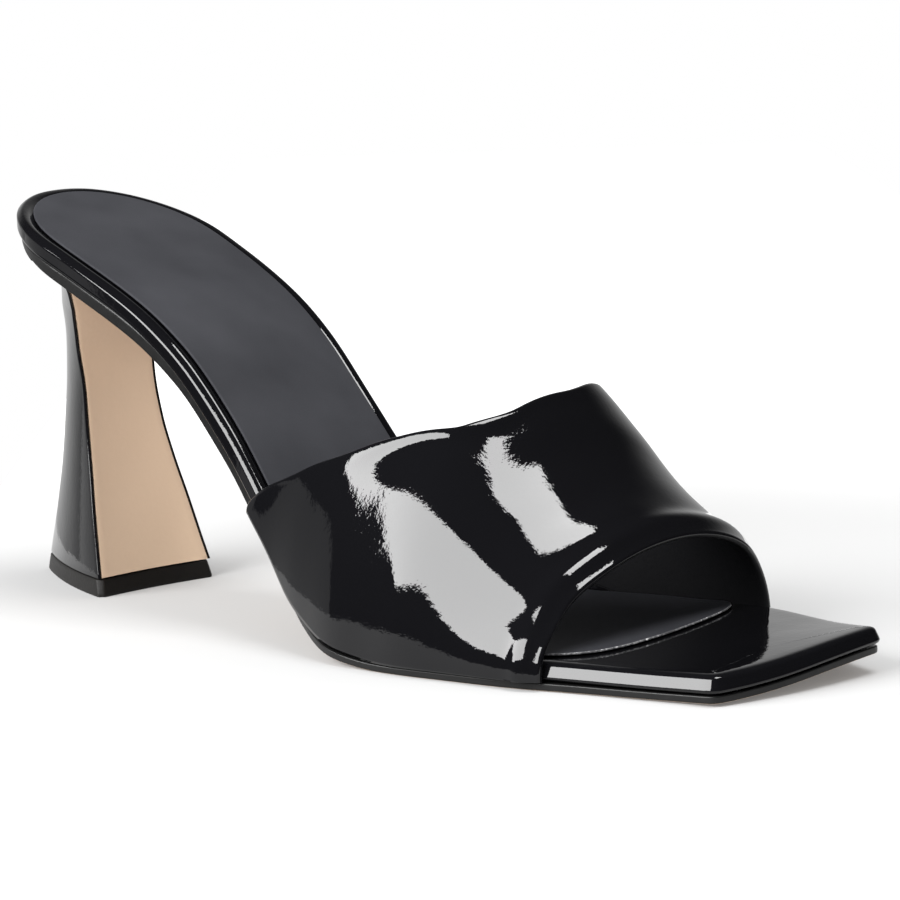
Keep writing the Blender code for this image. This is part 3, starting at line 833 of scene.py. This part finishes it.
# Black edge paint, and over the heel's seat painted shade in the seam between the sole and the heel.
painted = (down < PAINT_TURN) | (at[:, 0] < SEAM_SHADE_END)
outsole.data.polygons.foreach_set("material_index", painted.astype(np.int32))
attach(outsole, "root")
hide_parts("outsole")

# Heel
# A moulded block with hollow sides that narrow to the back, covered in patent
# leather. The cover folds over the edges of the breast and frames its flap.
HEEL_TURN = math.radians(-2.5)
LIFT = 0.0042
HEEL_BASE_LENGTH = 0.0434
HEEL_BASE_WIDTH = 0.0362
HEEL_BACK = -0.0097
HEEL_RIDGE = 0.0022
HEEL_CORNER = 0.0004
LIFT_CORNER = 0.0016
SIDE_HOLLOW = 0.0018
BREAST_HOLLOW = 0.0012
BREAST_RIM = 0.0004
FLAP = 0.0009
SEAT_INSET = 0.0013
TOP_RIM = 1              # loops of the grid that the folded rim takes above the flap
BREAST_POINTS = 15       # points across the breast, and from it to the heel's back
SIDE_POINTS = 24
CUP_LOOPS = 30           # loops above the root of the seat, and below it
SIDE_LOOPS = 60
HEEL_SECTIONS = (
    # height: share of SEAT, then shares of HEEL_BASE_LENGTH, HEEL_BASE_WIDTH,
    # HEEL_BACK and the two hollows
    (0.000, 1.000, 1.000, 1.000, 1.00),
    (0.111, 0.866, 0.912, 0.691, 1.00),
    (0.223, 0.737, 0.829, 0.392, 0.90),
    (0.334, 0.618, 0.735, 0.134, 0.80),
    (0.446, 0.525, 0.663, -0.041, 0.65),
    (0.557, 0.459, 0.627, -0.186, 0.50),
    (0.669, 0.424, 0.663, -0.237, 0.35),
    (0.758, 0.448, 0.707, -0.125, 0.15),
)
CUP = (
    # flare from the root of the seat to the seat: height, spread
    (0.00, 0.00),
    (0.35, 0.10),
    (0.65, 0.38),
    (0.86, 0.70),
    (1.00, 1.00),
)
ROOT = HEEL_SECTIONS[-1][0] * SEAT


def turned(points):
    """Turns points given along the heel's own axis into the shoe's axes."""
    c, s = math.cos(HEEL_TURN), math.sin(HEEL_TURN)
    x, y = points[..., 0], points[..., 1]
    return np.stack([x * c - y * s, x * s + y * c, points[..., 2]], -1)


def bed_depth(recess):
    """How far each point of the breast lies back: all but its two rims, by recess."""
    return recess * np.concatenate([[0, 0], np.ones(BREAST_POINTS), [0, 0]])


def heel_loops(heights, corner, recess):
    """Level loops of the heel: a hollow breast, then two hollow sides that meet in a
    narrow back. A hollow is a parabola off the straight line.

    recess: depth of the bed for the breast's leather, or 0.
    """
    share = heights / SEAT
    length = HEEL_BASE_LENGTH * eased(HEEL_SECTIONS, 1, share)
    width = HEEL_BASE_WIDTH * eased(HEEL_SECTIONS, 2, share)
    back = HEEL_BACK * eased(HEEL_SECTIONS, 3, share)
    hollow = eased(HEEL_SECTIONS, 4, share)
    front = back + length
    length, width, back, hollow, front = (v[:, None] for v in (length, width, back, hollow, front))
    bed = width / 2 - corner - BREAST_RIM
    t = np.linspace(-1, 1, BREAST_POINTS)[None]
    y = np.concatenate([corner - width / 2, -bed, bed * t, bed, width / 2 - corner], 1)
    x = front - BREAST_HOLLOW * hollow * (1 - (2 * y / width) ** 2) - bed_depth(recess)
    t = np.linspace(0, 1, SIDE_POINTS)
    t = t + corner / np.hypot(length, width / 2) * (1 - t)
    run_x, run_y = back - front, HEEL_RIDGE / 2 - width / 2
    size = np.hypot(run_x, run_y)
    dip = SIDE_HOLLOW * hollow * 4 * t * (1 - t) / size
    side_x = front + run_x * t + dip * run_y
    side_y = width / 2 + run_y * t - dip * run_x
    loop_x = np.concatenate([x, side_x, side_x[:, ::-1]], 1)
    loop_y = np.concatenate([y, side_y, -side_y[:, ::-1]], 1)
    return np.stack([loop_x, loop_y, np.broadcast_to(heights[:, None], loop_x.shape)], -1)


def seat_loop(recess):
    """The heel's seat, just inside the sole's edge: the footbed's rounded back drawn
    in, and a straight front."""
    base = heel_loops(np.array([ROOT]), HEEL_CORNER, 0)[0]
    front = base[:, 0].max() * math.cos(HEEL_TURN)
    arcs, full = [], []
    for side in (-1, 1):
        wide = float(half_width(np.array(front), side))
        start = math.asin(HEEL_RIDGE / 2 / wide)
        end = math.acos(1 - front / SEAT_ROUND)
        swing = end + (start - end) * np.linspace(0.02, 1, SIDE_POINTS)
        x = SEAT_ROUND * (1 - np.cos(swing))
        y = half_width(x, side) * (1 - SEAT_INSET / wide)
        arcs.append(np.column_stack([SEAT_INSET + x * (1 - SEAT_INSET / front), y]))
        full.append(wide - SEAT_INSET)
    low, high = -full[0] + HEEL_CORNER, full[1] - HEEL_CORNER
    bed = np.linspace(low + BREAST_RIM, high - BREAST_RIM, BREAST_POINTS)
    y = np.concatenate([[low], bed[:1], bed, bed[-1:], [high]])
    x = front - y * math.sin(HEEL_TURN) - bed_depth(recess)
    loop = np.concatenate([np.column_stack([x, y]), arcs[1], arcs[0][::-1] * (1, -1)])
    return np.column_stack([loop, below(loop[:, 0], loop[:, 1], sole_depth(loop[:, 0]) + CLEAR)])


def heel_grid(low, corner, recess):
    """Loops from the seat down to a height. The cup between the root and the seat
    spreads from one loop to the other along a smooth curve."""
    seat = seat_loop(recess)
    root = turned(heel_loops(np.array([ROOT]), corner, recess))[0]
    rise = np.linspace(1, 0, CUP_LOOPS, endpoint=False)[:, None, None]
    spread = curve(CUP, 1, rise)
    cup = root + (seat - root) * spread
    cup[..., 2] = root[:, 2] + (seat[:, 2] - root[:, 2]) * rise[..., 0]
    # Two close loops hold the lower edge straight.
    heights = np.concatenate([np.linspace(ROOT, low + 0.002, SIDE_LOOPS), [low + 0.001, low]])
    return np.concatenate([cup, turned(heel_loops(heights, corner, recess))])


def bedded_heel(low, corner, recess):
    """The heel with a bed for the flap, which starts under the folded rim."""
    grid = heel_grid(low, corner, recess)
    grid[:TOP_RIM] = heel_grid(low, corner, 0)[:TOP_RIM]
    return grid


def capped(grid):
    """A grid of loops with its two ends drawn in to their middles."""
    return [grid] + [
        np.stack([row, row * 0.5 + row.mean(0) * 0.5, np.broadcast_to(row.mean(0), row.shape)])
        for row in (grid[0], grid[-1])
    ]


def rounded(object_, width, segments=3):
    """Rounds the sharp edges of a piece."""
    bevel = object_.modifiers.new("rounded_edges", "BEVEL")
    bevel.width = width
    bevel.segments = segments
    bevel.limit_method = "ANGLE"
    bevel.angle_limit = math.radians(40)
    bevel.use_clamp_overlap = True
    return object_


heel = skin(
    "heel_covered", capped(bedded_heel(LIFT + CLEAR, HEEL_CORNER, FLAP + CLEAR)), [patent],
    closed=(0, 1, 2),
)
rounded(heel, 0.0003)
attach(heel, "root")
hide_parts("heel")

# Breast of the heel
# A flap of the same beige sole leather, glued into the bed that the folded cover
# leaves on the front of the heel. It is polished, and its colour is painted
# lighter towards the top and darker below, as painted light and shade.
breast_leather, shader, place = finish("beige_breast_leather")
grain = place.node("ShaderNodeTexNoise", Vector=place, Scale=900.0, Detail=4.0)
shade = place.node("ShaderNodeTexNoise", Vector=place, Scale=30.0, Detail=2.0)
# Painted light and shade: the flap's height lightens its colour towards the top and darkens it towards the
# foot.
height = place.node("ShaderNodeSeparateXYZ", output="Z", Vector=place)
feed(shader, "Base Color", place.node(
    "ShaderNodeValToRGB",
    {"stops": ((0.15, (0.44, 0.325, 0.228)), (0.55, (0.52, 0.388, 0.28)), (0.95, (0.72, 0.565, 0.435)))},
    Fac=shade * 0.35 + grain * 0.10 + height * 6.0 - 0.02,
))
feed(shader, "Roughness", 0.38 + 0.15 * shade)
feed(shader, "Normal", place.node(
    "ShaderNodeBump", output="Normal", Height=grain, Strength=0.3, Distance=0.0001,
))
bed = heel_grid(LIFT + CLEAR, HEEL_CORNER, FLAP + CLEAR)[TOP_RIM:, 2:2 + BREAST_POINTS]
across = (bed[:, -1] - bed[:, 0]) * (1, 1, 0)
across /= np.linalg.norm(across, axis=1)[:, None]
out = np.column_stack([across[:, 1], -across[:, 0], 0 * across[:, 0]])
inner_face = bed + out[:, None] * CLEAR
inner_face[:, 0] += across * CLEAR
inner_face[:, -1] -= across * CLEAR
outer_face = inner_face + out[:, None] * FLAP
flap_loop = np.concatenate([outer_face, inner_face[:, ::-1]], 1)
breast = skin("breast_flap", capped(flap_loop), [breast_leather], closed=(0, 1, 2))
rounded(breast, 0.0002, 2)
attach(breast, "root")
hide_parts("heel_breast")

# Top lift
# A slip of hard black rubber, nailed under the heel and trimmed flush with it.
lift_rubber, shader, place = finish("black_lift_rubber")
speck = place.node("ShaderNodeTexNoise", Vector=place, Scale=1200.0, Detail=3.0)
feed(shader, "Base Color", (0.006, 0.0055, 0.005, 1))
feed(shader, "Roughness", 0.42 + 0.15 * speck)
feed(shader, "Specular IOR Level", 0.2)
feed(shader, "Normal", place.node(
    "ShaderNodeBump", output="Normal", Height=speck, Strength=0.4, Distance=0.0001,
))
lift_grid = turned(heel_loops(np.linspace(LIFT, 0, 5), LIFT_CORNER, 0))
lift = skin("top_lift_rubber", capped(lift_grid), [lift_rubber], closed=(0, 1, 2))
rounded(lift, 0.0003, 2)
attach(lift, "root")
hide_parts("top_lift")
